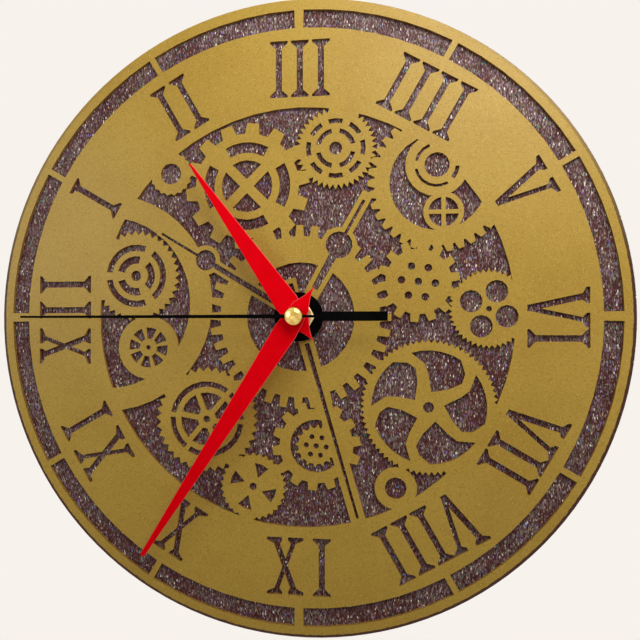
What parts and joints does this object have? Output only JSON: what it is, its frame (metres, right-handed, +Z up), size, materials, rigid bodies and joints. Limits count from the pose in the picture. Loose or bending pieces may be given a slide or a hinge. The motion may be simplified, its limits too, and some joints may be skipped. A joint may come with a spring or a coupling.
{
  "type": "wooden gear wall clock",
  "caption": "Round wooden wall clock with a gold gear-pattern fretwork dial, Roman numerals, red pointed hands and a battery movement on its back.",
  "frame": {"origin": "on the hands' axis in the wall plane, at the rear face of the movement", "axes": "+Z up to XII, +Y into the wall and -Y out through the dial to the viewer, +X towards III as the viewer sees the dial"},
  "size_m": [0.3, 0.0379, 0.3],
  "materials": {
    "backing_wood": "dark brown board under a coat of clear glitter varnish",
    "fret_gold": "matt gold paint on laser-cut plywood with browned edges",
    "washer_rubber": "matt black",
    "nut_brass": "turned brass, lightly polished",
    "bush_brass": "turned brass",
    "case_plastic": "fine textured black moulding",
    "cover_plastic": "black moulding",
    "bridge_plastic": "white moulding",
    "board_green": "green lacquered board",
    "chip_black": "black resin",
    "crystal_can": "plated can",
    "stator_steel": "punched sheet",
    "bobbin_plastic": "natural white",
    "winding_copper": "enamelled copper wire",
    "contact_steel": "nickel-plated spring strip",
    "cell_jacket": "satin sleeve without lettering on a metal can",
    "wheel_plastic": "white moulding",
    "magnet_grey": "sintered",
    "arbor_steel": "ground",
    "pipe_brass": "turned brass",
    "knob_plastic": "white moulding",
    "hand_red": "bright red enamel, satin",
    "collet_brass": "turned brass",
    "hand_black": "black enamel",
    "boss_brass": "polished brass"
  },
  "bodies": {
    "clock_body": {"backing_disc": "backing_wood", "fret_plate": "fret_gold", "rubber_washer": "washer_rubber", "hex_nut": "nut_brass", "threaded_bush": "bush_brass", "movement_case": "case_plastic", "rear_cover": "cover_plastic", "train_bridge": "bridge_plastic", "middle_plate": "bridge_plastic", "circuit_board": "board_green", "timing_chip": "chip_black", "quartz_crystal": "crystal_can", "stator": "stator_steel", "coil_core": "stator_steel", "coil_bobbin": "bobbin_plastic", "coil_winding": "winding_copper", "positive_contact": "contact_steel", "negative_contact": "contact_steel"},
    "second_hand_body": {"second_hand": "hand_black", "second_boss": "boss_brass", "second_arbor": "arbor_steel", "second_wheel": "wheel_plastic"},
    "rotor_body": {"rotor_pinion": "wheel_plastic", "rotor_magnet": "magnet_grey"},
    "intermediate_body": {"intermediate_wheel": "wheel_plastic"},
    "third_body": {"third_wheel": "wheel_plastic"},
    "centre_body": {"centre_wheel": "wheel_plastic"},
    "minute_hand_body": {"minute_hand": "hand_red", "minute_collet": "collet_brass", "minute_pipe": "pipe_brass"},
    "motion_body": {"motion_wheel": "wheel_plastic"},
    "hour_hand_body": {"hour_hand": "hand_red", "hour_collet": "collet_brass", "hour_pipe": "pipe_brass", "hour_wheel": "wheel_plastic"},
    "setting_knob_body": {"setting_knob": "knob_plastic"},
    "battery_body": {"battery_cell": "cell_jacket"}
  },
  "joints": [
    {"name": "second_hand_spin", "type": "hinge", "parent": "clock_body", "child": "second_hand_body", "pos_m": [0, -0.034, 0], "axis": [0, 1, 0], "continuous": true},
    {"name": "rotor_spin", "type": "hinge", "parent": "clock_body", "child": "rotor_body", "pos_m": [-0.01848, -0.007, 0.00785], "axis": [0, 1, 0], "continuous": true},
    {"name": "intermediate_spin", "type": "hinge", "parent": "clock_body", "child": "intermediate_body", "pos_m": [-0.00935, -0.0043, 0.0054], "axis": [0, 1, 0], "continuous": true},
    {"name": "third_spin", "type": "hinge", "parent": "clock_body", "child": "third_body", "pos_m": [0.0055, -0.0081, 0.00953], "axis": [0, 1, 0], "continuous": true},
    {"name": "centre_wheel_spin", "type": "hinge", "parent": "clock_body", "child": "centre_body", "pos_m": [0, -0.0101, 0], "axis": [0, 1, 0], "continuous": true},
    {"name": "minute_hand_spin", "type": "hinge", "parent": "clock_body", "child": "minute_hand_body", "pos_m": [0, -0.031, 0], "axis": [0, 1, 0], "continuous": true},
    {"name": "motion_wheel_spin", "type": "hinge", "parent": "clock_body", "child": "motion_body", "pos_m": [0.00985, -0.0122, -0.00174], "axis": [0, 1, 0], "continuous": true},
    {"name": "hour_hand_spin", "type": "hinge", "parent": "clock_body", "child": "hour_hand_body", "pos_m": [0, -0.028, 0], "axis": [0, 1, 0], "continuous": true},
    {"name": "setting_knob_spin", "type": "hinge", "parent": "clock_body", "child": "setting_knob_body", "pos_m": [0.01985, -0.001, -0.00174], "axis": [0, 1, 0], "continuous": true},
    {"name": "battery_slide", "type": "slide", "parent": "clock_body", "child": "battery_body", "axis": [0, 1, 0], "range_m": [0, 0.016]}
  ],
  "couplings": [
    {"joint": "intermediate_spin", "follows": "second_hand_spin", "ratio": -5},
    {"joint": "rotor_spin", "follows": "second_hand_spin", "ratio": 30},
    {"joint": "third_spin", "follows": "second_hand_spin", "ratio": -0.16667},
    {"joint": "centre_wheel_spin", "follows": "second_hand_spin", "ratio": 0.016667},
    {"joint": "motion_wheel_spin", "follows": "minute_hand_spin", "ratio": -0.33333},
    {"joint": "hour_hand_spin", "follows": "minute_hand_spin", "ratio": 0.083333},
    {"joint": "setting_knob_spin", "follows": "minute_hand_spin", "ratio": 1}
  ]
}
